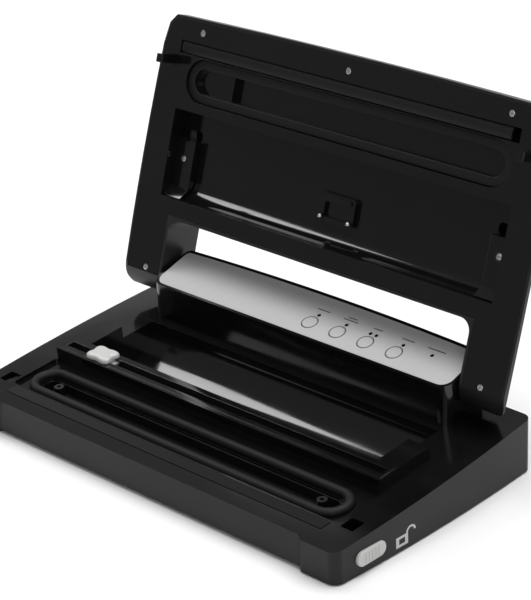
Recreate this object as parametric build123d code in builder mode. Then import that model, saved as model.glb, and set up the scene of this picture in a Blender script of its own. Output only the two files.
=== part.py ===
from build123d import *
import os
from math import sin, cos, radians, sqrt

os.makedirs("parts", exist_ok=True)

# ---------------------------------------------------------------- driving dimensions (mm, degrees)
HALF_W, BULGE = 200.0, 3.6           # half width at the middle of the sides, bulge of the sides
FRONT, REAR = -109.0, 109.0          # front and rear walls
FRONT_H, SLOPE = 26.7, 4.517         # deck height at the front, rise of the deck towards the back
FOOT = 1.2                           # gap under the side walls
WALL = 2.6
HINGE_Y, HINGE_Z = 97.0, 69.1        # lid hinge axis
OPEN = 112.6                         # how far the lid stands open at rest
PANEL_TILT = 17.0
ISLAND_X, ISLAND_FRONT = 155.5, 59.5
SEAL_S, GASKET_S = 23.3, 49.3        # sealing bar and gasket centre lines, measured up the deck
GASKET_X, GASKET_R, CORD_R = 148.0, 14.1, 4.0
WELL_X, WELL_FRONT, WELL_REAR = 152.0, 97.5, 164.0
FRAME_X, FRAME_N = 173.0, 10.0       # raised frame round the roll well
SLOT_X, SLOT_S = 181.5, 35.0         # latch slots
BUTTON_X = (6.1, 34.7, 63.3, 91.9)   # panel buttons
LED_X = (7.6, 36.2, 60.6, 66.4, 93.4, 121.4)
BUTTON_V, LED_V = 14.6, 24.4
KNOB_X, KNOB_S = -128.0, 88.0
HOSE_Y, HOSE_Z = -58.1, 9.0          # height of the suction hose and where it leaves the nozzle
CENTRE_Y = 21.137                    # middle of the open machine, front to back, from the base's own

sl, cl = sin(radians(SLOPE)), cos(radians(SLOPE))
st, ct = sin(radians(PANEL_TILT)), cos(radians(PANEL_TILT))
# Deck plane: X across, Y up the slope (s), Z off the deck (n).
DECK = Plane(origin=(0, FRONT, FRONT_H), x_dir=(1, 0, 0), z_dir=(0, -sl, cl))
# Section plane across the part: X is s, Y is n.
SECTION = Plane(origin=(0, FRONT, FRONT_H), x_dir=(0, cl, sl), z_dir=(1, 0, 0))
PANEL = Plane(origin=(0, 61.6, 73.1), x_dir=(1, 0, 0), z_dir=(0, -st, ct))
HINGE_S = (HINGE_Y - FRONT) * cl + (HINGE_Z - FRONT_H) * sl
HINGE_N = -(HINGE_Y - FRONT) * sl + (HINGE_Z - FRONT_H) * cl


def base_plan(inset, front=0.0):
    """Base outline with bulged sides and a bowed rear."""
    i, f = inset, max(inset, front)
    with BuildSketch() as outline:
        with BuildLine():
            a = Line((-(HALF_W - BULGE) + i, FRONT + f), (HALF_W - BULGE - i, FRONT + f))
            b = ThreePointArc(a @ 1, (HALF_W - i, 0), (HALF_W - BULGE - i, REAR - i))
            c = ThreePointArc(b @ 1, (0, REAR + 2.5 - i), (-(HALF_W - BULGE) + i, REAR - i))
            ThreePointArc(c @ 1, (-HALF_W + i, 0), a @ 0)
        make_face()
    return outline.sketch


def lid_plan(i):
    """Lid outline in (x, s): front corners cut, sides bulged, rear corners square until filleted."""
    with BuildSketch() as outline:
        with BuildLine():
            front = ThreePointArc((-187.4 + i * 0.6, 0.9 + i), (0, -1.4 + i), (187.4 - i * 0.6, 0.9 + i))
            r1 = Line(front @ 1, (194.2 - i * 0.9, 8.4 + i * 0.5))
            r2 = Line(r1 @ 1, (197.5 - i, 26))
            r3 = ThreePointArc(r2 @ 1, (200.2 - i, 128), (198.8 - i, 227.5 - i))
            rear = Line(r3 @ 1, (-(198.8 - i), 227.5 - i))
            l3 = ThreePointArc(rear @ 1, (-(200.2 - i), 128), (-(197.5 - i), 26))
            l2 = Line(l3 @ 1, (-(194.2 - i * 0.9), 8.4 + i * 0.5))
            Line(l2 @ 1, front @ 0)
        make_face()
    return outline.sketch


def stadium(half, r):
    """Long slot shape, straight half length and end radius, in the open sketch."""
    SlotCenterToCenter(2 * half, 2 * r)


def save(part, name):
    placed = part.moved(Pos(0, -CENTRE_Y, 0))
    placed.label = name
    export_step(placed, "parts/" + name + ".step")


# ---------------------------------------------------------------- base housing
# Inside of the housing: follows the outline and the deck, thicker deck under the sealing zone.
with BuildPart() as cavity:
    with BuildSketch(Plane.XY.offset(-1)) as s:
        add(base_plan(WALL, front=7.4))
        fillet(s.vertices(), radius=6)
    extrude(amount=62)
    split(bisect_by=DECK.offset(-2.8), keep=Keep.BOTTOM)
    with BuildSketch(DECK.offset(-8.6)):
        with Locations((0, 86)):
            Rectangle(351, 172)
    extrude(amount=12, mode=Mode.SUBTRACT)

# Control island, cut off by the sloping panel plane.
with BuildPart() as island:
    with BuildSketch(Plane.XY.offset(30)) as s:
        with BuildLine():
            a = Line((-ISLAND_X, ISLAND_FRONT), (ISLAND_X, ISLAND_FRONT))
            b = Line(a @ 1, (ISLAND_X, 103.8))
            c = ThreePointArc(b @ 1, (0, 107.8), (-ISLAND_X, 103.8))
            Line(c @ 1, a @ 0)
        make_face()
        fillet(s.vertices().group_by(Axis.Y)[0], radius=10)
        fillet(s.vertices().group_by(Axis.Y)[-1], radius=5)
    extrude(amount=64)
    split(bisect_by=PANEL, keep=Keep.BOTTOM)

with BuildPart() as island_hollow:
    with BuildSketch(Plane.XY.offset(-1)) as s:
        with BuildLine():
            a = Line((-ISLAND_X + WALL, ISLAND_FRONT + WALL), (ISLAND_X - WALL, ISLAND_FRONT + WALL))
            b = Line(a @ 1, (ISLAND_X - WALL, 101.2))
            c = ThreePointArc(b @ 1, (0, 105.2), (-ISLAND_X + WALL, 101.2))
            Line(c @ 1, a @ 0)
        make_face()
        fillet(s.vertices().group_by(Axis.Y)[0], radius=7)
    extrude(amount=98)
    split(bisect_by=PANEL.offset(-3.7), keep=Keep.BOTTOM)

# Front panel set back between the two corner blocks, its ends sloping out to them.
with BuildPart() as front_recess:
    with BuildSketch(Plane.YZ):
        with BuildLine():
            Polyline((-113, -1), (-102.5, -1), (-102.5, 3.1), (-106.4, 3.1), (-104.3, 33), (-113, 33),
                     close=True)
        make_face()
    extrude(amount=170, both=True)
    with BuildSketch(Plane.XY.offset(-2)):
        with BuildLine():
            Polyline((-169, -113), (169, -113), (155, -102), (-155, -102), close=True)
        make_face()
    extrude(amount=40, mode=Mode.INTERSECT)

with BuildPart() as housing:
    with BuildSketch(Plane.XY.offset(FOOT)) as s:
        add(base_plan(0))
        fillet(s.vertices(), radius=8)
    extrude(amount=60)
    split(bisect_by=DECK, keep=Keep.BOTTOM)
    add(front_recess.part, mode=Mode.SUBTRACT)
    # raised frame round the well
    with BuildSketch(DECK.offset(-3.2)):
        with Locations((0, 104)):
            Rectangle(2 * FRAME_X - 2.8, 54)
    extrude(amount=FRAME_N + 3.2)
    add(cavity.part, mode=Mode.SUBTRACT)
    add(island.part)
    add(island_hollow.part, mode=Mode.SUBTRACT)
    # vacuum channel box under the deck
    with BuildSketch(DECK.offset(-16)):
        with Locations((0, GASKET_S)):
            stadium(GASKET_X, 12)
    extrude(amount=12)
    # roll trough, outside
    with BuildSketch(SECTION):
        with BuildLine():
            a = Line((95.3, -6), (95.3, -1))
            b = Line(a @ 1, (166.2, -1))
            c = Line(b @ 1, (166.2, -6))
            ThreePointArc(c @ 1, (130.75, -31.2), a @ 0)
        make_face()
    extrude(amount=WELL_X + 2.2, both=True)
    # roll trough, inside, open upwards
    with BuildSketch(SECTION):
        with BuildLine():
            a = Line((WELL_FRONT, -6), (WELL_FRONT, 30))
            b = Line(a @ 1, (WELL_REAR, 30))
            c = Line(b @ 1, (WELL_REAR, -6))
            ThreePointArc(c @ 1, (130.75, -29), a @ 0)
        make_face()
    extrude(amount=WELL_X, both=True, mode=Mode.SUBTRACT)
    # pan round the gasket
    with BuildSketch(DECK.offset(-3)) as s:
        with Locations((0, 53.6)):
            RectangleRounded(2 * FRAME_X, 46.8, 4)
    extrude(amount=6, mode=Mode.SUBTRACT)
    # gasket groove
    with BuildSketch(DECK.offset(-5.9)):
        with Locations((0, GASKET_S)):
            stadium(GASKET_X, GASKET_R + CORD_R + 0.1)
            SlotCenterToCenter(2 * GASKET_X, 2 * (GASKET_R - CORD_R - 0.1), mode=Mode.SUBTRACT)
    extrude(amount=6, mode=Mode.SUBTRACT)
    # vacuum channel
    with BuildSketch(DECK.offset(-14)):
        with Locations((0, GASKET_S)):
            stadium(GASKET_X, 8.6)
    extrude(amount=16, mode=Mode.SUBTRACT)
    with BuildSketch(DECK.offset(-17)):
        with Locations((140, GASKET_S), (-140, GASKET_S)):
            Circle(2.5)
    extrude(amount=4, mode=Mode.SUBTRACT)
    # seat of the sealing bar
    with BuildSketch(DECK.offset(-6)):
        with Locations((0, SEAL_S)):
            Rectangle(335, 11)
    extrude(amount=8, mode=Mode.SUBTRACT)
    # seat of the cutter rail, and the hollow under it
    with BuildSketch(DECK.offset(4)):
        with Locations((0, 88.5)):
            Rectangle(340, 18)
    extrude(amount=8, mode=Mode.SUBTRACT)
    with BuildSketch(DECK.offset(-10)):
        with Locations((0, 87)):
            Rectangle(340, 13)
    extrude(amount=11.5, mode=Mode.SUBTRACT)
    with BuildSketch(DECK.offset(-10)):
        with Locations((162.5, 114.5), (-162.5, 114.5)):
            Rectangle(15, 28)
    extrude(amount=17, mode=Mode.SUBTRACT)
    # latch slots
    with BuildSketch(DECK.offset(-10)):
        with Locations((SLOT_X, SLOT_S), (-SLOT_X, SLOT_S)):
            Rectangle(11.5, 13)
    extrude(amount=12, mode=Mode.SUBTRACT)
    # release button openings
    with BuildSketch(Plane.YZ.offset(190)):
        with Locations((-74.5, 13.2)):
            SlotOverall(30, 12.4)
    extrude(amount=12, mode=Mode.SUBTRACT)
    with BuildSketch(Plane.YZ.offset(-202)):
        with Locations((-74.5, 13.2)):
            SlotOverall(30, 12.4)
    extrude(amount=12, mode=Mode.SUBTRACT)
    # panel seat with button and lamp holes
    with BuildSketch(PANEL.offset(-1.2)) as s:
        with BuildLine():
            a = Line((-153.6, -0.1), (153.6, -0.1))
            b = Line(a @ 1, (153.6, 41.4))
            c = ThreePointArc(b @ 1, (0, 45.4), (-153.6, 41.4))
            Line(c @ 1, a @ 0)
        make_face()
        fillet(s.vertices().group_by(Axis.Y)[0], radius=9.1)
        fillet(s.vertices().group_by(Axis.Y)[-1], radius=4.1)
    extrude(amount=3, mode=Mode.SUBTRACT)
    with BuildSketch(PANEL.offset(-6)):
        with Locations(*[(x, BUTTON_V) for x in BUTTON_X]):
            Circle(6.4)
        with Locations(*[(x, LED_V) for x in LED_X]):
            Circle(1.6)
    extrude(amount=6, mode=Mode.SUBTRACT)
    # hinge bosses and pin holes
    for side in (1, -1):
        with BuildSketch(Plane.YZ.offset(side * 150)):
            with Locations((HINGE_Y, HINGE_Z)):
                Circle(5.5)
        extrude(amount=side * 7)
        with BuildSketch(Plane.YZ.offset(side * 149)):
            with Locations((HINGE_Y, HINGE_Z)):
                Circle(2.5)
        extrude(amount=side * 9, mode=Mode.SUBTRACT)
    # bosses for the cover screws
    for x, y, top in ((180, -98, 26), (-180, -98, 26), (60, -98, 20), (-60, -98, 20), (180, 97, 41.5),
                      (-180, 97, 41.5)):
        with BuildSketch(Plane.XY.offset(3.5)):
            with Locations((x, y)):
                Circle(4)
        extrude(amount=top - 3.5)
        with BuildSketch(Plane.XY.offset(3.5)):
            with Locations((x, y)):
                Circle(1.5)
        extrude(amount=12, mode=Mode.SUBTRACT)
    # opening for the mains inlet in the rear wall
    with BuildSketch(Plane.XZ.offset(-104)):
        with Locations((-142, 21)):
            RectangleRounded(22, 15, 5)
    extrude(amount=-12, mode=Mode.SUBTRACT)
save(housing.part, "base_housing")

# ---------------------------------------------------------------- bottom cover, feet and screws
FEET = [(x, y) for x in (-168, 168) for y in (-84, 84)]
BOSSES = [(180, -98), (-180, -98), (60, -98), (-60, -98), (180, 97), (-180, 97)]
with BuildPart() as bottom_cover:
    with BuildSketch(Plane.XY.offset(1.4)) as s:
        add(base_plan(WALL + 0.15, front=7.6))
        fillet(s.vertices(), radius=5.8)
    extrude(amount=2)
    with BuildSketch(Plane.XY.offset(3.4)):
        for y in (-60, -20, 20, 60):
            with Locations((0, y)):
                Rectangle(300, 1.6)
    extrude(amount=0.6)
    with BuildSketch(Plane.XY.offset(1)):
        with Locations(*FEET):
            Circle(6.6)
    extrude(amount=1.4, mode=Mode.SUBTRACT)
    with BuildSketch(Plane.XY.offset(1)):
        with Locations(*BOSSES):
            Circle(1.7)
        with GridLocations(9, 0, 7, 1):
            SlotOverall(26, 3.4, rotation=90)
    extrude(amount=4, mode=Mode.SUBTRACT)
    with BuildSketch(Plane.XY.offset(1)):
        with Locations(*BOSSES):
            Circle(3.2)
    extrude(amount=1.4, mode=Mode.SUBTRACT)
save(bottom_cover.part, "bottom_cover")

with BuildPart() as feet:
    with BuildSketch(Plane.XY):
        with Locations(*FEET):
            Circle(6.5)
    extrude(amount=2.4)
save(feet.part, "feet")

with BuildPart() as cover_screws:
    with BuildSketch(Plane.XY.offset(1.5)):
        with Locations(*BOSSES):
            Circle(3)
    extrude(amount=0.9)
    with BuildSketch(Plane.XY.offset(2.4)):
        with Locations(*BOSSES):
            Circle(1.45)
    extrude(amount=12)
save(cover_screws.part, "cover_screws")

# ---------------------------------------------------------------- sealing zone
with BuildPart() as lower_gasket:
    with BuildLine(DECK.offset(-1.9)) as path:
        a = Line((-GASKET_X, GASKET_S - GASKET_R), (GASKET_X, GASKET_S - GASKET_R))
        b = ThreePointArc(a @ 1, (GASKET_X + GASKET_R, GASKET_S), (GASKET_X, GASKET_S + GASKET_R))
        c = Line(b @ 1, (-GASKET_X, GASKET_S + GASKET_R))
        ThreePointArc(c @ 1, (-GASKET_X - GASKET_R, GASKET_S), a @ 0)
    with BuildSketch(Plane(origin=path.line @ 0, z_dir=path.line % 0)):
        Circle(CORD_R)
    sweep()
save(lower_gasket.part, "lower_gasket")

with BuildPart() as drip_tray:
    with BuildSketch(DECK.offset(-13.9)):
        with Locations((0, GASKET_S)):
            stadium(GASKET_X, 8.3)
    extrude(amount=9.4)
    with BuildSketch(DECK.offset(-12.9)):
        with Locations((0, GASKET_S)):
            stadium(GASKET_X, 7.2)
    extrude(amount=10, mode=Mode.SUBTRACT)
    with BuildSketch(DECK.offset(-15)):
        with Locations((140, GASKET_S), (-140, GASKET_S)):
            Circle(4.2)
    extrude(amount=4, mode=Mode.SUBTRACT)
save(drip_tray.part, "drip_tray")

for name, x, way in (("suction_nozzle", 140, 1), ("sensing_nozzle", -140, -1)):
    with BuildPart() as nozzle:
        with BuildSketch(DECK.offset(-13.9)):
            with Locations((x, GASKET_S)):
                Circle(4)
        extrude(amount=11.5)
        with BuildSketch(DECK.offset(-21.5)):
            with Locations((x, GASKET_S)):
                Circle(2.4)
        extrude(amount=7.6)
        with BuildSketch(Plane.YZ.offset(x - 2.4 * way)):
            with Locations((HOSE_Y, HOSE_Z)):
                Circle(2.3)
        extrude(amount=14 * way)
        with BuildSketch(DECK.offset(-15)):
            with Locations((x, GASKET_S)):
                Circle(1.6)
        extrude(amount=14, mode=Mode.SUBTRACT)
    save(nozzle.part, name)

with BuildPart() as seal_bar:
    with BuildSketch(DECK.offset(-5.95)):
        with Locations((0, SEAL_S)):
            Rectangle(334.4, 10.4)
    extrude(amount=5.5)
    with BuildSketch(DECK.offset(-0.75)):
        with Locations((0, SEAL_S)):
            Rectangle(318, 3.2)
    extrude(amount=1, mode=Mode.SUBTRACT)
save(seal_bar.part, "seal_bar")

with BuildPart() as heating_element:
    with BuildSketch(DECK.offset(-0.7)):
        with Locations((0, SEAL_S)):
            Rectangle(316, 2.6)
    extrude(amount=0.25)
save(heating_element.part, "heating_element")

with BuildPart() as element_clips:
    with BuildSketch(DECK.offset(-0.44)):
        with Locations((162, SEAL_S), (-162, SEAL_S)):
            Rectangle(5, 6)
    extrude(amount=0.3)
save(element_clips.part, "element_clips")

with BuildPart() as release_tape:
    with BuildSketch(DECK.offset(-0.1)):
        with Locations((0, SEAL_S)):
            Rectangle(334, 10.2)
    extrude(amount=0.5)
save(release_tape.part, "release_tape")

# ---------------------------------------------------------------- control panel
with BuildPart() as panel_plate:
    with BuildSketch(PANEL.offset(-1.15)) as s:
        with BuildLine():
            a = Line((-153.4, 0.1), (153.4, 0.1))
            b = Line(a @ 1, (153.4, 41.2))
            c = ThreePointArc(b @ 1, (0, 45.2), (-153.4, 41.2))
            Line(c @ 1, a @ 0)
        make_face()
        fillet(s.vertices().group_by(Axis.Y)[0], radius=9)
        fillet(s.vertices().group_by(Axis.Y)[-1], radius=4)
    extrude(amount=1.15)
    with BuildSketch(PANEL.offset(-2)):
        with Locations(*[(x, BUTTON_V) for x in BUTTON_X]):
            Circle(6.4)
        with Locations(*[(x, LED_V) for x in LED_X]):
            Circle(1.6)
    extrude(amount=3, mode=Mode.SUBTRACT)
save(panel_plate.part, "panel_plate")

for k, x in enumerate(BUTTON_X):
    with BuildPart() as button:
        with BuildSketch(PANEL.offset(-4.6)):
            with Locations((x, BUTTON_V)):
                Circle(6.1)
        extrude(amount=4.8)
        with BuildSketch(PANEL.offset(-5.1)):
            with Locations((x, BUTTON_V)):
                Circle(7.4)
        extrude(amount=1)
    save(button.part, "panel_button_" + str(k + 1))

with BuildPart() as light_pipes:
    with BuildSketch(PANEL.offset(-7.8)):
        with Locations(*[(x, LED_V) for x in LED_X]):
            Circle(1.5)
    extrude(amount=7.8)
save(light_pipes.part, "light_pipes")

with BuildPart() as control_board:
    with BuildSketch(PANEL.offset(-9.6)):
        with Locations((58, 19)):
            Rectangle(156, 28)
    extrude(amount=1.6)
    with BuildSketch(PANEL.offset(-14.6)):
        with Locations((10, 14), (52, 22), (92, 12)):
            Rectangle(16, 12)
    extrude(amount=5)
save(control_board.part, "control_board")

with BuildPart() as tact_switches:
    with BuildSketch(PANEL.offset(-8)):
        with Locations(*[(x, BUTTON_V) for x in BUTTON_X]):
            Rectangle(6, 6)
    extrude(amount=1.6)
    with BuildSketch(PANEL.offset(-6.4)):
        with Locations(*[(x, BUTTON_V) for x in BUTTON_X]):
            Circle(1.7)
    extrude(amount=0.4)
save(tact_switches.part, "tact_switches")

# ---------------------------------------------------------------- bag cutter
with BuildPart() as cutter_rail:
    with BuildSketch(DECK.offset(4.05)):
        with Locations((0, 88.45)):
            Rectangle(339.6, 17.6)
    extrude(amount=6)
    with BuildSketch(DECK.offset(5.6)):
        with Locations((0, KNOB_S)):
            Rectangle(334, 7)
    extrude(amount=6, mode=Mode.SUBTRACT)
    with BuildSketch(DECK.offset(5.6)):
        with Locations((0, KNOB_S)):
            Rectangle(334, 10)
    extrude(amount=2.2, mode=Mode.SUBTRACT)
save(cutter_rail.part, "cutter_rail")

with BuildPart() as cutter_knob:
    with BuildSketch(DECK.offset(5.9)):
        with Locations((KNOB_X, KNOB_S)):
            Rectangle(26, 9.2)
    extrude(amount=1.5)
    with BuildSketch(DECK.offset(7.4)):
        with Locations((KNOB_X, KNOB_S)):
            Rectangle(20, 6.2)
    extrude(amount=3)
    with BuildSketch(DECK.offset(10.4)) as s:
        with Locations((KNOB_X, KNOB_S)):
            Ellipse(14.5, 6.6)
            Rectangle(15, 20)
    extrude(amount=2.6)
    with BuildSketch(DECK.offset(13)):
        with Locations((KNOB_X, KNOB_S)):
            Ellipse(9.5, 7)
    extrude(amount=3.5)
    with BuildSketch(Plane(origin=DECK.origin, x_dir=(1, 0, 0), z_dir=(0, cl, sl)).offset(KNOB_S)):
        with Locations((KNOB_X, -9.3)):
            Rectangle(11, 6.3)
    extrude(amount=0.25, both=True, mode=Mode.SUBTRACT)
save(cutter_knob.part, "cutter_knob")

with BuildPart() as cutter_blade:
    with BuildSketch(Plane(origin=DECK.origin, x_dir=(1, 0, 0), z_dir=(0, cl, sl)).offset(KNOB_S)):
        with BuildLine():
            Polyline((KNOB_X - 5, -6.4), (KNOB_X + 5, -6.4), (KNOB_X + 5, -9.8), (KNOB_X, -12.2),
                     (KNOB_X - 5, -9.8), close=True)
        make_face()
    extrude(amount=0.2, both=True)
save(cutter_blade.part, "cutter_blade")

# ---------------------------------------------------------------- inside the base
with BuildPart() as pump_motor:
    with BuildSketch(Plane.YZ.offset(-112)):
        with Locations((84, 27)):
            Circle(17.5)
    extrude(amount=56)
    with BuildSketch(Plane.YZ.offset(-118)):
        with Locations((84, 27)):
            Circle(6)
    extrude(amount=6)
save(pump_motor.part, "pump_motor")

with BuildPart() as pump_head:
    with BuildSketch(Plane.XY.offset(6)):
        with Locations((-34, 84)):
            RectangleRounded(43, 36, 4)
    extrude(amount=40)
    with BuildSketch(Plane.XY.offset(46)):
        with Locations((-46, 84), (-22, 84)):
            Circle(8)
    extrude(amount=9)
    with BuildSketch(Plane.YZ.offset(-12.5)):
        with Locations((76, 14)):
            Circle(2.4)
    extrude(amount=8)
save(pump_head.part, "pump_head")

with BuildPart() as transformer:
    with BuildSketch(Plane.XY.offset(6)):
        with Locations((95, 83)):
            Rectangle(48, 22)
    extrude(amount=44)
    with BuildSketch(Plane.XY.offset(14)):
        with Locations((95, 83)):
            RectangleRounded(30, 36, 4)
    extrude(amount=28)
    with BuildSketch(Plane.XY.offset(3.7)):
        with Locations((95, 83)):
            Rectangle(62, 20)
    extrude(amount=2.3)
save(transformer.part, "transformer")

with BuildPart() as solenoid_valve:
    with BuildSketch(Plane.XY.offset(6)):
        with Locations((24, 74)):
            Rectangle(18, 20)
    extrude(amount=26)
    with BuildSketch(Plane.XY.offset(32)):
        with Locations((24, 76)):
            Circle(4)
    extrude(amount=8)
    with BuildSketch(Plane.YZ.offset(33)):
        with Locations((68, HOSE_Z)):
            Circle(2.4)
    extrude(amount=8)
    with BuildSketch(Plane.YZ.offset(15)):
        with Locations((76, 14)):
            Circle(2.4)
    extrude(amount=-8)
save(solenoid_valve.part, "solenoid_valve")

# suction hose: from the nozzle round the right end of the roll trough to the valve
with BuildPart() as suction_hose:
    with BuildLine() as path:
        FilletPolyline((143.5, HOSE_Y, HOSE_Z), (177, HOSE_Y, HOSE_Z), (177, 68, HOSE_Z),
                       (33.2, 68, HOSE_Z), radius=9)
    with BuildSketch(Plane(origin=path.line @ 0, z_dir=path.line % 0)):
        Circle(3.4)
        Circle(2.45, mode=Mode.SUBTRACT)
    sweep()
save(suction_hose.part, "suction_hose")

with BuildPart() as pump_hose:
    with BuildSketch(Plane.YZ.offset(-12.3)):
        with Locations((76, 14)):
            Circle(3.4)
            Circle(2.45, mode=Mode.SUBTRACT)
    extrude(amount=27.1)
save(pump_hose.part, "pump_hose")

with BuildPart() as mains_inlet:
    with BuildSketch(Plane.XZ.offset(-95)):
        with Locations((-142, 21)):
            RectangleRounded(21.6, 14.6, 4.8)
    extrude(amount=-15)
    with BuildSketch(Plane.XZ.offset(-100)):
        with Locations((-142, 21)):
            RectangleRounded(17, 10, 4.8)
    extrude(amount=-12, mode=Mode.SUBTRACT)
    with BuildSketch(Plane.XZ.offset(-99)):
        with Locations((-146, 21), (-138, 21)):
            Circle(1.2)
    extrude(amount=-6)
save(mains_inlet.part, "mains_inlet")

with BuildPart() as lid_switch:
    with BuildSketch(Plane.XY.offset(5)):
        with Locations((-160, -74)):
            Rectangle(14, 7)
    extrude(amount=8)
    with BuildSketch(Plane.XY.offset(13)):
        with Locations((-163, -74)):
            Rectangle(2.5, 4)
    extrude(amount=1)
save(lid_switch.part, "lid_switch")

with BuildPart() as hinge_pins:
    for side in (1, -1):
        with BuildSketch(Plane.YZ.offset(side * 150)):
            with Locations((HINGE_Y, HINGE_Z)):
                Circle(2.5)
        extrude(amount=side * 15.5)
save(hinge_pins.part, "hinge_pins")

# ---------------------------------------------------------------- release buttons and catches
for side, tag in ((1, "right"), (-1, "left")):
    with BuildPart() as release:
        with BuildSketch(Plane.YZ.offset(side * 194.2)) as s:
            with Locations((-74.5, 13.2)):
                SlotOverall(29.4, 11.8)
        extrude(amount=side * 6)
        fillet(release.faces().sort_by(Axis.X)[-1 if side > 0 else 0].edges(), radius=1.2)
        with BuildSketch(Plane.YZ.offset(side * 192.6)):
            with Locations((-74.5, 13.2)):
                Rectangle(34, 13)
        extrude(amount=side * 1.6)
    save(release.part, "release_button_" + tag)
    with BuildPart() as catch:
        with BuildSketch(Plane.XY.offset(16.2)):
            with Locations((side * 180.9, -74)):
                Rectangle(22.6, 18)
            with Locations((side * 184.3, -74)):
                Rectangle(10.6, 14, mode=Mode.SUBTRACT)
        extrude(amount=2.4)
        with BuildSketch(Plane.XY.offset(10)):
            with Locations((side * 190.9, -74)):
                Rectangle(2.6, 14)
        extrude(amount=6.2)
    save(catch.part, "catch_" + tag)

# ---------------------------------------------------------------- lid, built closed in deck coordinates
LID = Location(Plane(origin=(0, HINGE_Y, HINGE_Z), x_dir=(1, 0, 0),
                     z_dir=(0, sin(radians(OPEN)), cos(radians(OPEN))))) \
    * Pos(0, -HINGE_Y, -HINGE_Z) * Location(DECK)


def save_lid(part, name):
    save(part.moved(LID), name)


def roof(drop):
    """Side profile of the lid in (s, n): flat underside, rounded front, arc round the hinge."""
    r = HINGE_N - 0.55
    n0 = HINGE_N - sqrt(r * r - (227 - HINGE_S) ** 2)
    with BuildSketch() as outline:
        with BuildLine():
            if drop:
                a = Polyline((-6, -2), (213.8, -2), (213.8, 4.2))
                b = Line(a @ 1, (227 - drop, 11.5))
            else:
                a = Line((-6, 0.5), (HINGE_S, 0.5))
                b = ThreePointArc(a @ 1, (HINGE_S + 9.6, HINGE_N - sqrt(r * r - 9.6 ** 2)), (227, n0))
            c = Line(b @ 1, (227 - drop, 30 - drop))
            d = Spline(c @ 1, (220, 36.2 - drop), (200, 38.4 - drop), (160, 37 - drop),
                       (110, 33.2 - drop), (60, 27.6 - drop), (20, 20.4 - drop), (4, 15.4 - drop),
                       (-1.5 + drop, 9 - drop))
            e = Line(d @ 1, (-6, 9 - drop))
            Line(e @ 1, a @ 0)
        make_face()
    return outline.sketch


def flanks(drop):
    """Front view of the lid in (x, n): a low upright edge, then sides that lean in to the roof."""
    with BuildSketch() as outline:
        with BuildLine():
            a = Polyline((-201, 3.2 - drop * 0.2), (-201, -5), (201, -5), (201, 3.2 - drop * 0.2))
            b = Spline((201, 3.2 - drop * 0.2), (189.4 - drop * 0.7, 15.6 - drop * 0.7),
                       (178 - drop * 0.7, 27 - drop * 0.7), (167 - drop * 0.5, 34.8 - drop),
                       (152, 38 - drop), (100, 39.6 - drop))
            c = Line(b @ 1, (-100, 39.6 - drop))
            Spline(c @ 1, (-152, 38 - drop), (-167 + drop * 0.5, 34.8 - drop),
                   (-178 + drop * 0.7, 27 - drop * 0.7), (-189.4 + drop * 0.7, 15.6 - drop * 0.7),
                   (-201, 3.2 - drop * 0.2))
        make_face()
    return outline.sketch


LID_SCREWS = [(0, 11.2), (156.5, 11.2), (-156.5, 11.2), (176.2, 210), (-176.2, 210)]

# Inside of the shell; the screw posts are left standing in it.
with BuildPart() as lid_hollow:
    with BuildSketch(Plane.XY.offset(-4)) as s:
        add(lid_plan(2.4))
        fillet(s.vertices().group_by(Axis.Y)[-1], radius=7)
    extrude(amount=60)
    with BuildSketch(Plane.YZ):
        add(roof(2.4))
    extrude(amount=220, both=True, mode=Mode.INTERSECT)
    with BuildSketch(Plane.XZ):
        add(flanks(2.4))
    extrude(amount=-240, mode=Mode.INTERSECT)
    with BuildSketch(Plane.XY.offset(-5)) as s:
        with Locations((0, 202)):
            Rectangle(319.8, 79.8)
    extrude(amount=70, mode=Mode.SUBTRACT)
    with BuildSketch(Plane.XY.offset(3)):
        with Locations(*LID_SCREWS):
            Circle(3.4)
    extrude(amount=60, mode=Mode.SUBTRACT)

with BuildPart() as lid_shell:
    with BuildSketch(Plane.XY.offset(-4)) as s:
        add(lid_plan(0))
        fillet(s.vertices().group_by(Axis.Y)[-1], radius=9)
    extrude(amount=60)
    with BuildSketch(Plane.YZ):
        add(roof(0))
    extrude(amount=220, both=True, mode=Mode.INTERSECT)
    with BuildSketch(Plane.XZ.offset(10)):
        add(flanks(0))
    extrude(amount=-250, mode=Mode.INTERSECT)
    with BuildSketch(Plane.XY.offset(-5)) as s:
        with Locations((0, 204.5)):
            RectangleRounded(315, 80, 10)
    extrude(amount=70, mode=Mode.SUBTRACT)
    add(lid_hollow.part, mode=Mode.SUBTRACT)
    with BuildSketch(Plane.XY.offset(2)):
        with Locations(*LID_SCREWS):
            Circle(1.4)
    extrude(amount=13, mode=Mode.SUBTRACT)
    for side in (1, -1):
        with BuildSketch(Plane.YZ.offset(side * 156)):
            with Locations((HINGE_S, HINGE_N)):
                Circle(2.55)
        extrude(amount=side * 5, mode=Mode.SUBTRACT)
save_lid(lid_shell.part, "lid_shell")

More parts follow.
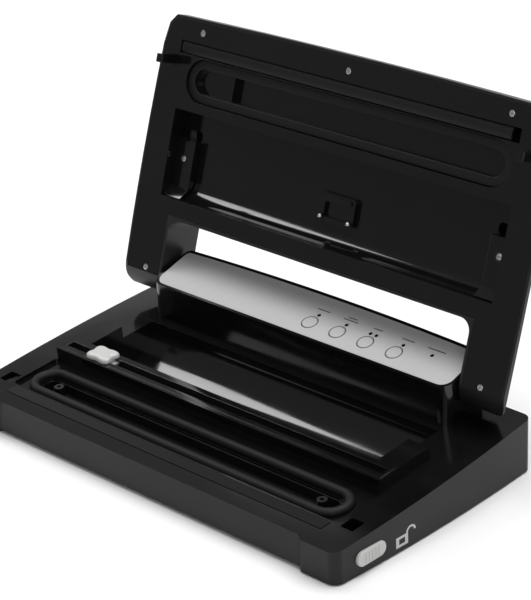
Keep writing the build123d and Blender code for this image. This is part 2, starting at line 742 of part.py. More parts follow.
with BuildPart() as lid_liner:
    with BuildSketch(Plane.XY.offset(0.6)) as s:
        add(lid_plan(2.55))
        fillet(s.vertices().group_by(Axis.Y)[-1], radius=6.8)
        with Locations((0, 204)):
            Rectangle(320.2, 84.6, mode=Mode.SUBTRACT)
        with Locations((0, 223.6)):
            Rectangle(400, 20, mode=Mode.SUBTRACT)
    extrude(amount=2.2)
    with BuildSketch(Plane.XY):
        with Locations((0, 216.5)):
            Rectangle(400, 10)
    extrude(amount=1.3, mode=Mode.SUBTRACT)
    # outside of the pockets
    with BuildSketch(Plane.XY.offset(2)):
        with Locations((-4.8, 25.3)):
            Rectangle(350, 13.6)
    extrude(amount=11)
    with BuildSketch(Plane.XY.offset(2)):
        with Locations((0, GASKET_S)):
            stadium(GASKET_X, 19.8)
    extrude(amount=5.7)
    with BuildSketch(Plane.XY.offset(7.7)):
        with Locations((0, GASKET_S)):
            stadium(GASKET_X, 11.8)
    extrude(amount=3.4)
    with BuildSketch(Plane.YZ):
        with BuildLine():
            a = Line((73.4, 2), (73.4, 20))
            b = Line(a @ 1, (131.5, 20))
            c = ThreePointArc(b @ 1, (144, 15), (150, 2))
            Line(c @ 1, a @ 0)
        make_face()
    extrude(amount=174.4, both=True)
    # insides of the pockets
    with BuildSketch(Plane.XY):
        with Locations((-4.8, 25.3)):
            Rectangle(346, 10.8)
    extrude(amount=11.4, mode=Mode.SUBTRACT)
    with BuildSketch(Plane.XY):
        with Locations((0, GASKET_S)):
            stadium(GASKET_X, 17.8)
    extrude(amount=5.7, mode=Mode.SUBTRACT)
    with BuildSketch(Plane.XY):
        with Locations((0, GASKET_S)):
            stadium(GASKET_X, 9.8)
    extrude(amount=9.2, mode=Mode.SUBTRACT)
    with BuildSketch(Plane.YZ):
        with BuildLine():
            a = Line((75.2, 0), (75.2, 18))
            b = Line(a @ 1, (131, 18))
            c = ThreePointArc(b @ 1, (142.4, 13.4), (148, 0))
            Line(c @ 1, a @ 0)
        make_face()
    extrude(amount=172.4, both=True, mode=Mode.SUBTRACT)
    with BuildSketch(Plane.XY.offset(3.4)):
        with Locations((-116, GASKET_S)):
            Rectangle(1.4, 20)
    extrude(amount=6)
    # relief holes in the recess above the roll presses
    with BuildSketch(Plane.XY.offset(17)):
        with Locations((161.5, 96), (-161.5, 96)):
            RectangleRounded(17, 8.6, 3)
    extrude(amount=4, mode=Mode.SUBTRACT)
    # latch hook openings
    with BuildSketch(Plane.XY):
        with Locations((183, SLOT_S + 2), (-183, SLOT_S + 2)):
            SlotOverall(16, 9)
    extrude(amount=3, mode=Mode.SUBTRACT)
    # screw holes
    with BuildSketch(Plane.XY):
        with Locations(*LID_SCREWS):
            Circle(3)
    extrude(amount=3, mode=Mode.SUBTRACT)
    # hinge blocks
    for side in (1, -1):
        with BuildSketch(Plane.YZ.offset(side * 160.2)):
            with Locations((HINGE_S, HINGE_N)):
                Circle(6)
            with Locations((HINGE_S, 14)):
                Rectangle(9, 24)
        extrude(amount=side * 6)
        with BuildSketch(Plane.YZ.offset(side * 159)):
            with Locations((HINGE_S, HINGE_N)):
                Circle(2.55)
        extrude(amount=side * 9, mode=Mode.SUBTRACT)
save_lid(lid_liner.part, "lid_liner")

with BuildPart() as pressure_strip:
    with BuildSketch(Plane.YZ.offset(-177)):
        with Locations((25.3, 6.1)):
            Circle(5.2)
    extrude(amount=337)
save_lid(pressure_strip.part, "pressure_strip")

with BuildPart() as upper_gasket:
    with BuildSketch(Plane.XY.offset(2.7)):
        with Locations((0, GASKET_S)):
            stadium(GASKET_X, 17.7)
            SlotCenterToCenter(2 * GASKET_X, 20.4, mode=Mode.SUBTRACT)
    extrude(amount=3)
save_lid(upper_gasket.part, "upper_gasket")

for side, tag in ((1, "right"), (-1, "left")):
    with BuildPart() as hook:
        with BuildSketch(Plane.XY.offset(2.85)):
            with Locations((side * 183.3, SLOT_S + 2)):
                Rectangle(18.6, 9.4)
        extrude(amount=2)
        with BuildSketch(Plane.XY.offset(-17)):
            with Locations((side * 183.8, SLOT_S + 2)):
                Rectangle(4.2, 7)
        extrude(amount=20)
        with BuildSketch(Plane.XZ.offset(-SLOT_S - 2)):
            with BuildLine():
                Polyline((side * 181.8, -17), (side * 180.4, -17), (side * 179.4, -14.4),
                         (side * 181.8, -14), close=True)
            make_face()
        extrude(amount=3, both=True)
    save_lid(hook.part, "latch_hook_" + tag)
    with BuildPart() as press:
        with BuildSketch(Plane.YZ.offset(side * 152.5)):
            with BuildLine():
                Polyline((100.5, 17.9), (100.5, 10.4), (139.3, 10.4), (147, 2.6), (141.2, 13.6), (131, 17.7),
                         close=True)
            make_face()
        extrude(amount=side * 19.6)
        with BuildSketch(Plane.XY.offset(9)):
            with Locations((side * 163.4, 115.5)):
                Circle(2.8)
        extrude(amount=3.4, mode=Mode.SUBTRACT)
    save_lid(press.part, "roll_press_" + tag)

with BuildPart() as press_screws:
    with BuildSketch(Plane.XY.offset(10.6)):
        with Locations((163.4, 115.5), (-163.4, 115.5)):
            Circle(2.6)
    extrude(amount=1.8)
save_lid(press_screws.part, "press_screws")

with BuildPart() as lid_screws:
    with BuildSketch(Plane.XY.offset(0.9)):
        with Locations(*LID_SCREWS):
            Circle(2.8)
    extrude(amount=2.1)
    with BuildSketch(Plane.XY.offset(3)):
        with Locations(*LID_SCREWS):
            Circle(1.35)
    extrude(amount=9)
save_lid(lid_screws.part, "lid_screws")

with BuildPart() as centre_boss:
    with BuildSketch(Plane.XY.offset(14)) as s:
        with Locations((3, 119)):
            RectangleRounded(36, 23, 2.5)
    extrude(amount=3.9)
    with BuildSketch(Plane.XY.offset(13)):
        with Locations((3, 120.5)):
            Rectangle(25, 12)
    extrude(amount=4, mode=Mode.SUBTRACT)
    with BuildSketch(Plane.XY.offset(12.6)):
        with Locations((3, 111.6)):
            SlotOverall(29, 4.6)
        with Locations((-11.5, 127), (17.5, 127)):
            Circle(2.2)
    extrude(amount=1.6)
save_lid(centre_boss.part, "centre_boss")
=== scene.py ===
import bpy, bmesh
from math import radians, sin, cos, pi
from mathutils import Matrix, Vector


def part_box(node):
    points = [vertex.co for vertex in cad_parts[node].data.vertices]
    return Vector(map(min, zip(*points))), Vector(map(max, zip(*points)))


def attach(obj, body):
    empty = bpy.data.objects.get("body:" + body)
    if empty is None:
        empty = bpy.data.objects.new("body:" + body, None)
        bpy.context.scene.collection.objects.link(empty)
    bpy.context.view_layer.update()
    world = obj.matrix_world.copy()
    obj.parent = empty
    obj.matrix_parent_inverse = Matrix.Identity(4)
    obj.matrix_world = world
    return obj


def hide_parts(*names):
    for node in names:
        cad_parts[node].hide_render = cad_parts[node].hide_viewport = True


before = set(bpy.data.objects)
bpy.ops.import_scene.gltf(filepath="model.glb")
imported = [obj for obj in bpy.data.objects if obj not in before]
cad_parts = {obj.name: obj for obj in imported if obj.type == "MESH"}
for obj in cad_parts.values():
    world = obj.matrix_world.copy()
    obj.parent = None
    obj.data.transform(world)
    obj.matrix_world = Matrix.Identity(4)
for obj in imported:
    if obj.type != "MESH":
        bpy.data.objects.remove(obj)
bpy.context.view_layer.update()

# ---- Base housing --------------------------------------------------------------------------
# One ABS moulding: sloping deck, raised frame round the roll well, control island, set-back
# front. Its edges leave the mould with a small radius, so a copy of the CAD solid is bevelled.

MM = 0.001
SLOPE = radians(4.517)              # rise of the deck towards the back
DECK_FRONT = Vector((0, -0.130137, 0.0267))
PANEL_TILT = radians(17)
PANEL_FRONT = Vector((0, 0.040463, 0.0731))
HINGE = Vector((0, 0.075863, 0.0691))
OPEN = radians(112.6)

# Local axes: deck (x, up the slope, off the deck), panel, and the lid's own closed position.
DECK = Matrix.Translation(DECK_FRONT) @ Matrix.Rotation(SLOPE, 4, "X")
PANEL = Matrix.Translation(PANEL_FRONT) @ Matrix.Rotation(PANEL_TILT, 4, "X")
LID = Matrix.Translation(HINGE) @ Matrix.Rotation(-OPEN, 4, "X") @ Matrix.Translation(-HINGE) @ DECK


def linear(code):
    """An sRGB hex colour as the linear RGBA that the shader wants."""
    parts = [int(code[i:i + 2], 16) / 255 for i in (0, 2, 4)]
    return [c / 12.92 if c <= 0.04045 else ((c + 0.055) / 1.055) ** 2.4 for c in parts] + [1]


def add_node(tree, kind, settings=None, values=None, links=None):
    """Adds one node: its settings, the values of its inputs, and the sockets linked into them."""
    node = tree.nodes.new(kind)
    for key, value in (settings or {}).items():
        setattr(node, key, value)
    for key, value in (values or {}).items():
        node.inputs[key].default_value = value
    for key, socket in (links or {}).items():
        tree.links.new(socket, node.inputs[key])
    return node


def new_material(name, **principled):
    """A material with its Principled shader, and the tree to build on."""
    material = bpy.data.materials.new(name)
    material.use_nodes = True
    shader = material.node_tree.nodes["Principled BSDF"]
    for key, value in principled.items():
        shader.inputs[key.replace("_", " ")].default_value = value
    return material, material.node_tree, shader


def moulded_plastic(name, dark, light, rough, grit_mm, relief_mm, gloss=0.5):
    """Moulded plastic: pigment that clouds slightly, and the fine spark-eroded grain of the tool."""
    material, tree, shader = new_material(name, IOR=1.53, Roughness=rough, Specular_IOR_Level=gloss)
    spot = add_node(tree, "ShaderNodeTexCoord").outputs["Object"]
    cloud = add_node(tree, "ShaderNodeTexNoise", values={"Scale": 18, "Detail": 3}, links={"Vector": spot})
    tone = add_node(tree, "ShaderNodeMix", {"data_type": "RGBA"},
                    {6: linear(dark), 7: linear(light)}, {0: cloud.outputs["Fac"]})
    grain = add_node(tree, "ShaderNodeTexNoise", values={"Scale": 1 / (grit_mm * MM), "Detail": 2},
                     links={"Vector": spot})
    gloss = add_node(tree, "ShaderNodeMapRange",
                     values={"From Min": 0.3, "From Max": 0.7, "To Min": rough - 0.04,
                             "To Max": rough + 0.05}, links={"Value": cloud.outputs["Fac"]})
    bump = add_node(tree, "ShaderNodeBump", values={"Strength": 0.35, "Distance": relief_mm * MM},
                    links={"Height": grain.outputs["Fac"]})
    tree.links.new(tone.outputs[2], shader.inputs["Base Color"])
    tree.links.new(gloss.outputs[0], shader.inputs["Roughness"])
    tree.links.new(bump.outputs["Normal"], shader.inputs["Normal"])
    return material


def finish_piece(bm, name, body, material, slot, *nodes, smooth=30):
    """Turns a bmesh into a piece that rides on a body and stands for the CAD nodes given."""
    mesh = bpy.data.meshes.new(name)
    bm.to_mesh(mesh)
    bm.free()
    mesh.materials.clear()
    mesh.materials.append(material)
    mesh.polygons.foreach_set("material_index", [0] * len(mesh.polygons))
    mesh.shade_smooth()
    mesh.set_sharp_from_angle(angle=radians(smooth))
    piece = bpy.data.objects.new(name, mesh)
    bpy.context.collection.objects.link(piece)
    piece.modifiers.new("Flat faces stay flat", "WEIGHTED_NORMAL").keep_sharp = True
    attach(piece, body)
    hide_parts(*nodes)
    return piece


def triangle_area(bm):
    """Area of a mesh once its faces are cut in triangles, as they are for the render."""
    cut = bm.copy()
    bmesh.ops.triangulate(cut, faces=cut.faces, quad_method="BEAUTY", ngon_method="EAR_CLIP")
    area = sum(face.calc_area() for face in cut.faces)
    cut.free()
    return area


def softened(node, radius_mm, sharp=28, segments=3):
    """A bmesh copy of a CAD part, its loose triangles joined and its sharp edges rounded.

    A flat face with many corners can lose an opening in it when it is cut in triangles. The area
    then grows, so the flat triangles are joined less until it doesn't.
    """
    for flat in (0.4, 0.02, 0.001):
        bm = bmesh.new()
        bm.from_mesh(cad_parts[node].data)
        before = triangle_area(bm)
        bmesh.ops.remove_doubles(bm, verts=bm.verts, dist=2e-6)
        bmesh.ops.dissolve_limit(bm, angle_limit=radians(flat), verts=bm.verts, edges=bm.edges)
        edges = [e for e in bm.edges if e.is_manifold and e.calc_face_angle() > radians(sharp)]
        bmesh.ops.bevel(bm, geom=edges, offset=radius_mm * MM, segments=segments, profile=0.5,
                        affect="EDGES", clamp_overlap=True, material=-1)
        if triangle_area(bm) < before * 1.003:
            break
    return bm


# Outer walls: fine texture, so a broad soft sheen. Deck and wells: polished tool, sharp reflections.
body_black = moulded_plastic("ABS_moulded_satin_black", "0c0c0d", "101011", 0.36, 0.5, 0.02, gloss=0.26)
body_gloss = moulded_plastic("ABS_moulded_gloss_black", "0b0b0c", "0f0f10", 0.1, 6, 0.003)

housing = finish_piece(softened("base_housing", 0.8), "Housing", "base", body_gloss, "body_black",
                       "base_housing")
housing.data.materials.append(body_black)
SKIN_X, SKIN_FRONT, SKIN_BACK = 0.193, -0.122, 0.084      # outside these a face is on an outer wall
UNDER_DECK = 0.0012
for face in housing.data.polygons:
    x, y, z = face.center
    low = z < DECK_FRONT.z + (y - DECK_FRONT.y) * 0.079 - UNDER_DECK
    outer = abs(x) > SKIN_X or y < SKIN_FRONT or y > SKIN_BACK
    if low and outer:
        face.material_index = 1

# ---- Bottom cover, feet and screws ---------------------------------------------------------
# A flat ABS plate closes the underside; six steel screws hold it and four rubber pads stand
# in shallow pockets so the machine does not slide.

finish_piece(softened("bottom_cover", 0.3), "Bottom_cover", "base", body_black, "body_black", "bottom_cover")


def rubber(name, colour, rough, pore_mm):
    """Matt rubber or foam: no reflection to speak of, a fine pored skin."""
    material, tree, shader = new_material(name, Base_Color=linear(colour), Roughness=rough,
                                          Specular_IOR_Level=0.3)
    spot = add_node(tree, "ShaderNodeTexCoord").outputs["Object"]
    pores = add_node(tree, "ShaderNodeTexVoronoi", values={"Scale": 1 / (pore_mm * MM)},
                     links={"Vector": spot})
    bump = add_node(tree, "ShaderNodeBump", values={"Strength": 0.5, "Distance": 0.05 * MM},
                    links={"Height": pores.outputs["Distance"]})
    tree.links.new(bump.outputs["Normal"], shader.inputs["Normal"])
    return material


def brushed_metal(name, colour, rough, grain_mm):
    """Metal with a fine grain drawn one way, which stretches its highlights across the grain."""
    material, tree, shader = new_material(name, Base_Color=linear(colour), Metallic=1.0, Roughness=rough)
    spot = add_node(tree, "ShaderNodeTexCoord").outputs["Object"]
    squash = add_node(tree, "ShaderNodeMapping", values={"Scale": (0.02, 1, 1)}, links={"Vector": spot})
    grain = add_node(tree, "ShaderNodeTexNoise", values={"Scale": 1 / (grain_mm * MM), "Detail": 2},
                     links={"Vector": squash.outputs[0]})
    gloss = add_node(tree, "ShaderNodeMapRange", values={"To Min": rough - 0.08, "To Max": rough + 0.1},
                     links={"Value": grain.outputs["Fac"]})
    tree.links.new(gloss.outputs[0], shader.inputs["Roughness"])
    return material


foot_rubber = rubber("Rubber_moulded_matt_black", "101010", 0.8, 0.6)
steel = brushed_metal("Steel_nickel_plated", "c8c8c6", 0.28, 0.3)
finish_piece(softened("feet", 0.5), "Feet", "base", foot_rubber, "foot_rubber", "feet")


def screw_heads(name, node, body, slot, places, out, radius_mm):
    """Pan-head screws: each head is one spun profile with a driver recess, then tapered shanks."""
    bm = bmesh.new()
    turn = Vector((0, 0, 1)).rotation_difference(out).to_matrix().to_4x4()
    outline = [(0, -0.9), (0.9, -0.9), (1.15, -0.1), (1.9, 0), (2.5, -0.3), (2.8, -0.8), (2.8, -1.9),
               (1.3, -1.9), (1.3, -6), (0, -6.6)]
    points = [bm.verts.new((r * radius_mm / 2.8 * MM, 0, z * MM)) for r, z in outline]
    edges = [bm.edges.new(pair) for pair in zip(points, points[1:])]
    bmesh.ops.spin(bm, geom=points + edges, cent=(0, 0, 0), axis=(0, 0, 1), angle=2 * pi, steps=24,
                   use_merge=True)
    bmesh.ops.remove_doubles(bm, verts=bm.verts, dist=1e-7)
    bmesh.ops.recalc_face_normals(bm, faces=bm.faces)
    pattern = bm.verts[:]
    whole = pattern + bm.edges[:] + bm.faces[:]
    for place in places:
        screw = bmesh.ops.duplicate(bm, geom=whole)["geom"]
        bmesh.ops.transform(bm, matrix=Matrix.Translation(place) @ turn,
                            verts=[v for v in screw if isinstance(v, bmesh.types.BMVert)])
    bmesh.ops.delete(bm, geom=pattern, context="VERTS")
    return finish_piece(bm, name, body, steel, slot, node, smooth=40)


screw_heads("Cover_screws", "cover_screws", "base", "steel",
            [Vector((x * MM, y * MM - 0.021137, 0.0015)) for x, y in
             ((180, -98), (-180, -98), (60, -98), (-60, -98), (180, 97), (-180, 97))],
            Vector((0, 0, -1)), 2.8)

# ---- Vacuum channel and heat seal bar ------------------------------------------------------
# A black foam cord in a groove rings the vacuum channel; a lift-out tray lines it. In front of
# it the sealing wire lies under a black coated glass-cloth tape on its holder.

foam_rubber = rubber("Silicone_foam_cord_black", "070707", 0.6, 0.5)
tray_black = moulded_plastic("PP_moulded_black", "08080a", "0d0d0e", 0.3, 1, 0.02)


def give(material, *nodes):
    """Puts one finish on CAD parts that keep their own shape."""
    for node in nodes:
        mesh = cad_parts[node].data
        mesh.materials.clear()
        mesh.materials.append(material)


give(foam_rubber, "lower_gasket")
finish_piece(softened("drip_tray", 0.25), "Drip_tray", "base", tray_black, "tray_black", "drip_tray")
for node in ("suction_nozzle", "sensing_nozzle"):
    finish_piece(softened(node, 0.5), node.capitalize(), "base", tray_black, "tray_black", node)
finish_piece(softened("seal_bar", 0.3), "Seal_bar", "base", tray_black, "tray_black", "seal_bar")
give(steel, "heating_element")
brass = brushed_metal("Brass_strip", "c9a24e", 0.3, 0.4)
give(brass, "element_clips")

# Woven glass cloth under a PTFE coat: the weave shows as a faint grid in the sheen.
tape_cloth, tree, shader = new_material("PTFE_coated_glass_cloth", Base_Color=linear("0a0a0b"), Roughness=0.5,
                                        Specular_IOR_Level=0.2)
spot = add_node(tree, "ShaderNodeTexCoord").outputs["Object"]
threads = [add_node(tree, "ShaderNodeTexWave", {"bands_direction": way}, {"Scale": 1 / (0.8 * MM) / 20},
                    {"Vector": spot}) for way in ("X", "Y")]
weave = add_node(tree, "ShaderNodeMath", {"operation": "ADD"}, links={0: threads[0].outputs["Fac"],
                                                                      1: threads[1].outputs["Fac"]})
bump = add_node(tree, "ShaderNodeBump", values={"Strength": 0.3, "Distance": 0.05 * MM},
                links={"Height": weave.outputs[0]})
tree.links.new(bump.outputs["Normal"], shader.inputs["Normal"])
finish_piece(softened("release_tape", 0.1), "Release_tape", "base", tape_cloth, "tape", "release_tape")

# ---- Bag cutter ----------------------------------------------------------------------------
# A slotted ABS rail clips on the front of the well; a pale four-lobed knob with a small steel
# blade under it slides along the slot.

finish_piece(softened("cutter_rail", 0.4), "Cutter_rail", "base", body_gloss, "body_black", "cutter_rail")
give(steel, "cutter_blade")
knob_white = moulded_plastic("ABS_moulded_pale_grey", "bcbcba", "c6c6c4", 0.34, 0.8, 0.02)
KNOB = DECK @ Matrix.Translation((-0.128, 0.088, 0.0104))

bm = bmesh.new()
rim = bmesh.ops.create_circle(bm, cap_ends=True, segments=96, radius=1)["verts"]
for v in rim:
    lobes = 1 - 0.16 * cos(4 * Vector((1, 0)).angle_signed(v.co.xy))
    v.co = Vector((v.co.x * 13.2 * lobes, v.co.y * 9.6 * lobes, 0)) * MM
crown = bm.faces[:]
for rise, shrink in ((1.6, 1.0), (1.1, 0.96), (0.8, 0.9), (0.5, 0.82), (0.25, 0.65), (0.1, 0.4)):
    grown = bmesh.ops.extrude_discrete_faces(bm, faces=crown)["faces"]
    verts = grown[0].verts[:]
    bmesh.ops.scale(bm, vec=(shrink, shrink, 1), verts=verts)
    bmesh.ops.translate(bm, vec=(0, 0, rise * MM), verts=verts)
    crown = grown
bmesh.ops.holes_fill(bm, edges=[e for e in bm.edges if e.is_boundary], sides=0)
for size, drop in (((20, 6, 4.2), 1.8), ((26, 9.2, 1.5), 3.75)):
    block = bmesh.ops.create_cube(bm, size=MM)["verts"]
    bmesh.ops.scale(bm, vec=size, verts=block)
    bmesh.ops.translate(bm, vec=(0, 0, -drop * MM), verts=block)
bmesh.ops.recalc_face_normals(bm, faces=bm.faces)
bmesh.ops.transform(bm, matrix=KNOB, verts=bm.verts)
finish_piece(bm, "Cutter_knob", "cutter", knob_white, "knob_grey", "cutter_knob", smooth=50)

# ---- Control panel -------------------------------------------------------------------------
# A silver sprayed ABS plate glued on the sloping island, with four round short-travel buttons,
# each ringed with a fine dark line, smoked lamp lenses, and plain printed marks behind them.

silver, tree, shader = new_material("Silver_sprayed_ABS", Metallic=0.08, Roughness=0.55)
spot = add_node(tree, "ShaderNodeTexCoord").outputs["Object"]
flake = add_node(tree, "ShaderNodeTexNoise", values={"Scale": 1 / (0.5 * MM), "Detail": 1},
                 links={"Vector": spot})
tone = add_node(tree, "ShaderNodeMix", {"data_type": "RGBA"}, {6: linear("b0b0b1"), 7: linear("c3c3c4")},
                {0: flake.outputs["Fac"]})
bump = add_node(tree, "ShaderNodeBump", values={"Strength": 0.2, "Distance": 0.02 * MM},
                links={"Height": flake.outputs["Fac"]})
tree.links.new(tone.outputs[2], shader.inputs["Base Color"])
tree.links.new(bump.outputs["Normal"], shader.inputs["Normal"])
finish_piece(softened("panel_plate", 0.25), "Panel_plate", "base", silver, "silver_panel", "panel_plate")
for k in range(1, 5):
    finish_piece(softened("panel_button_%d" % k, 0.35), "Panel_button_%d" % k, "key_%d" % k, silver,
                 "button_silver", "panel_button_%d" % k)
lens_smoke = moulded_plastic("Acrylic_smoked", "120d0e", "1c1516", 0.12, 2, 0.005)
give(lens_smoke, "light_pipes")

print_ink = moulded_plastic("Screen_print_ink_grey", "454547", "565658", 0.6, 0.4, 0.01)
bm = bmesh.new()
for x in (6.1, 34.7, 63.3, 91.9):
    inner = bmesh.ops.create_circle(bm, segments=48, radius=6.45 * MM)["verts"]
    outer = bmesh.ops.create_circle(bm, segments=48, radius=7.15 * MM)["verts"]
    bmesh.ops.translate(bm, vec=(x * MM, 14.6 * MM, 0.03 * MM), verts=inner + outer)
    bmesh.ops.bridge_loops(bm, edges=list({e for v in inner + outer for e in v.link_edges}))
for x, v, length in ((7.6, 30.6, 13), (36.2, 32.6, 9), (36.2, 29.9, 15), (63.5, 30.6, 9), (93.4, 30.6, 12),
                     (121.4, 30.6, 17)):
    bar = bmesh.ops.create_grid(bm, x_segments=1, y_segments=1, size=0.5)["verts"]
    bmesh.ops.scale(bm, vec=(length * MM, 1.1 * MM, 1), verts=bar)
    bmesh.ops.translate(bm, vec=(x * MM, v * MM, 0.03 * MM), verts=bar)
bmesh.ops.transform(bm, matrix=PANEL, verts=bm.verts)
finish_piece(bm, "Panel_print", "base", print_ink, "silver_panel")

# ---- Release buttons -----------------------------------------------------------------------
# A pale ABS push button on each side draws the latch catches in; shallow upright ribs give grip.

for tag, way in (("right", 1), ("left", -1)):
    bm = softened("release_button_" + tag, 0.4)
    low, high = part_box("release_button_" + tag)
    face_x = high.x if way > 0 else low.x
    middle = (low + high) / 2
    for k in range(5):
        rib = bmesh.ops.create_cube(bm, size=1)["verts"]
        bmesh.ops.scale(bm, vec=(1.1 * MM, 1.0 * MM, 8 * MM), verts=rib)
        bmesh.ops.translate(bm, vec=(face_x, middle.y + (k - 2) * 3.4 * MM, middle.z), verts=rib)
        bmesh.ops.bevel(bm, geom=list({e for v in rib for e in v.link_edges}), offset=0.2 * MM, segments=2,
                        profile=0.5, affect="EDGES", clamp_overlap=True, material=-1)
    finish_piece(bm, "Release_button_" + tag, "release_" + tag, knob_white, "button_pale",
                 "release_button_" + tag)
give(body_black, "catch_right", "catch_left")

# Open padlock beside the right button, printed in light grey on the bulged side wall.
white_ink = moulded_plastic("Screen_print_ink_light_grey", "b8b8b8", "c8c8c8", 0.5, 0.4, 0.01)
bm = bmesh.new()
lock = bmesh.ops.create_grid(bm, x_segments=4, y_segments=4, size=0.5)["verts"]
bmesh.ops.scale(bm, vec=(9.5, 7, 1), verts=lock)
bmesh.ops.delete(bm, geom=[f for f in bm.faces if f.calc_center_median().length < 1.8], context="FACES")
shackle = [bm.verts.new((radius, 0, 0)) for radius in (2.5, 3.9)]
shackle.append(bm.edges.new(shackle))
bmesh.ops.translate(bm, vec=(7.2, 3.5, 0), verts=shackle[:2])
bmesh.ops.spin(bm, geom=shackle, cent=(7.2, 3.5, 0), axis=(0, 0, 1), angle=radians(200), steps=16)
bmesh.ops.scale(bm, vec=(1.3, 1.2, 1), verts=bm.verts)
bmesh.ops.translate(bm, vec=(-64, 9, 0), verts=bm.verts)
for v in bm.verts:
    across, height = v.co.x + 21.1, v.co.y
    v.co = Vector((200.06 - 3.6 * (across / 109) ** 2, v.co.x, height)) * MM
bmesh.ops.recalc_face_normals(bm, faces=bm.faces)
if sum(f.normal.x for f in bm.faces) < 0:
    bmesh.ops.reverse_faces(bm, faces=bm.faces)
finish_piece(bm, "Unlock_symbol", "base", white_ink, "button_pale")

# ---- Inside the base -----------------------------------------------------------------------
# Diaphragm pump and its motor, transformer, release valve, hoses, board, switches and the inlet
# for the mains lead. They are shut in by the cover, so they keep their plain shapes.

pump_white = moulded_plastic("Nylon_moulded_natural", "c8c6bc", "d4d2c8", 0.45, 1, 0.02)
core_iron = brushed_metal("Laminated_iron_lacquered", "4a4a4c", 0.5, 0.5)
board_green = moulded_plastic("Glass_epoxy_board_green", "184d2d", "22663c", 0.35, 1.5, 0.02)
hose_milky = moulded_plastic("Silicone_hose_milky", "c0c0ba", "cfcfca", 0.35, 2, 0.02)
give(steel, "pump_motor", "hinge_pins")
give(pump_white, "pump_head", "solenoid_valve")
give(core_iron, "transformer")
give(board_green, "control_board")
give(hose_milky, "suction_hose", "pump_hose")
give(body_black, "lid_switch", "tact_switches", "mains_inlet")

# ---- Lid -----------------------------------------------------------------------------------
# A satin ABS outer shell screwed to a glossy inner liner, with the rubber pressure strip, the
# upper gasket, latch hooks, the two roll presses and the small boss in the middle.

lid_satin = moulded_plastic("ABS_lid_satin_black", "101011", "161617", 0.34, 0.5, 0.02, gloss=0.4)
lid_gloss = moulded_plastic("ABS_lid_gloss_black", "0d0d0e", "111112", 0.1, 6, 0.003, gloss=0.42)
finish_piece(softened("lid_shell", 0.7), "Lid_shell", "lid", lid_satin, "lid_black", "lid_shell")
finish_piece(softened("lid_liner", 0.6), "Lid_liner", "lid", lid_gloss, "liner_black", "lid_liner")

strip_rubber = rubber("Silicone_extruded_black", "0e0e0f", 0.5, 0.8)
bm = bmesh.new()
bmesh.ops.create_cone(bm, cap_ends=True, segments=48, radius1=1, radius2=1, depth=337 * MM)
ends = [e for e in bm.edges if abs(e.verts[0].co.z - e.verts[1].co.z) < 1e-6]
bmesh.ops.scale(bm, vec=(5.35 * MM, 1.9 * MM, 1), verts=bm.verts)
bmesh.ops.bevel(bm, geom=ends, offset=1.2 * MM, segments=3, profile=0.5, affect="EDGES",
                clamp_overlap=True, material=-1)
along_x = Matrix(((0, 0, 1), (1, 0, 0), (0, 1, 0))).to_4x4()
lie = Matrix.Translation((-8.5 * MM, 25.3 * MM, 2.8 * MM)) @ along_x
bmesh.ops.transform(bm, matrix=LID @ lie, verts=bm.verts)
bmesh.ops.recalc_face_normals(bm, faces=bm.faces)
finish_piece(bm, "Pressure_strip", "lid", strip_rubber, "strip_black", "pressure_strip")
finish_piece(softened("upper_gasket", 0.9), "Upper_gasket", "lid", foam_rubber, "gasket_black",
             "upper_gasket")
for tag in ("right", "left"):
    finish_piece(softened("latch_hook_" + tag, 0.8), "Latch_hook_" + tag, "lid", lid_gloss, "liner_black",
                 "latch_hook_" + tag)
    finish_piece(softened("roll_press_" + tag, 0.9), "Roll_press_" + tag, "lid", lid_gloss, "liner_black",
                 "roll_press_" + tag)
finish_piece(softened("centre_boss", 0.5), "Centre_boss", "lid", lid_gloss, "liner_black", "centre_boss")
bm = bmesh.new()
for x in (-11.5, 17.5):
    pin = bmesh.ops.create_uvsphere(bm, u_segments=24, v_segments=12, radius=2 * MM)["verts"]
    bmesh.ops.translate(bm, vec=(x * MM, 127 * MM, 13 * MM), verts=pin)
bmesh.ops.transform(bm, matrix=LID, verts=bm.verts)
finish_piece(bm, "Boss_pins", "lid", steel, "liner_black")
lid_down = (LID.to_3x3() @ Vector((0, 0, -1))).normalized()
screw_heads("Lid_screws", "lid_screws", "lid", "screw_steel",
            [LID @ (Vector((x, s, 0.7)) * MM) for x, s in
             ((0, 11.2), (156.5, 11.2), (-156.5, 11.2), (176.2, 210), (-176.2, 210))], lid_down, 2.8)
screw_heads("Press_screws", "press_screws", "lid", "screw_steel",
            [LID @ (Vector((x, 115.5, 10.3)) * MM) for x in (163.4, -163.4)], lid_down, 2.6)

# ---- Floor, light and camera ---------------------------------------------------------------
# A plain pale floor. A wide softbox overhead gives most of the light, a small one on the left
# draws the streaks in the gloss, and two weak ones lift the front walls and the back of the lid.

floor_mesh = bpy.data.meshes.new("Floor")
bm = bmesh.new()
bmesh.ops.create_grid(bm, x_segments=1, y_segments=1, size=6)
bm.to_mesh(floor_mesh)
bm.free()
floor = bpy.data.objects.new("Floor", floor_mesh)
bpy.context.collection.objects.link(floor)
floor_white, _, _ = new_material("Paper_sweep_white", Roughness=0.9, Base_Color=linear("f4f4f4"))
floor_mesh.materials.append(floor_white)

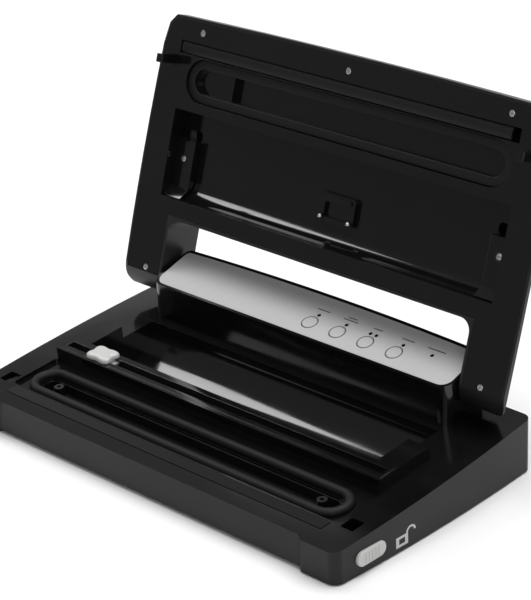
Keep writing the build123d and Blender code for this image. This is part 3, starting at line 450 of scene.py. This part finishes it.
world = bpy.data.worlds.new("Studio")
world.use_nodes = True
world.node_tree.nodes["Background"].inputs["Color"].default_value = linear("ffffff")
world.node_tree.nodes["Background"].inputs["Strength"].default_value = 0.22
bpy.context.scene.world = world


def softbox(name, place, aim, width, height, power, roll=0):
    """A rectangular studio light at a place, facing a point, turned by roll degrees about its axis."""
    lamp = bpy.data.lights.new(name, "AREA")
    lamp.shape = "RECTANGLE"
    lamp.size, lamp.size_y, lamp.energy = width, height, power
    light = bpy.data.objects.new(name, lamp)
    facing = (Vector(aim) - Vector(place)).to_track_quat("-Z", "Y").to_matrix().to_4x4()
    light.matrix_world = Matrix.Translation(place) @ facing @ Matrix.Rotation(radians(roll), 4, "Z")
    bpy.context.collection.objects.link(light)


softbox("Strip", (-1.2, 0.0, 1.28), (0, 0, 0.1), 0.5, 0.5, 6, roll=45)
softbox("Overhead", (0.3, 0.6, 2.6), (0, 0.3, 0), 2.4, 2.4, 74)
softbox("Fill", (1.6, -1.6, 1.6), (0, 0, 0.1), 1.4, 1.4, 14)
softbox("Backdrop", (-1.7, 1.7, 0.75), (0, 0, 0.2), 2.4, 1.1, 4.5)
bpy.context.scene.view_settings.view_transform = "Standard"

FOCAL_PX, LONG_SIDE_PX = 2214.9, 600
YAW, PITCH, ROLL, DISTANCE = radians(44.7), radians(24.5), radians(-2.6), 1.6655
TARGET = Vector((0.0104, 0.00246, 0.1161))
back = Vector((sin(YAW) * cos(PITCH), -cos(YAW) * cos(PITCH), sin(PITCH)))
side = (-back).cross(Vector((0, 0, 1))).normalized()
up = side.cross(-back)
camera = bpy.data.cameras.new("Camera")
camera.lens = FOCAL_PX * 36 / LONG_SIDE_PX
camera.sensor_width = 36
camera.clip_start = 0.1
view = bpy.data.objects.new("Camera", camera)
turn = Matrix((cos(ROLL) * side + sin(ROLL) * up, -sin(ROLL) * side + cos(ROLL) * up, back)).transposed()
view.matrix_world = Matrix.Translation(TARGET + DISTANCE * back) @ turn.to_4x4()
bpy.context.collection.objects.link(view)
bpy.context.scene.camera = view
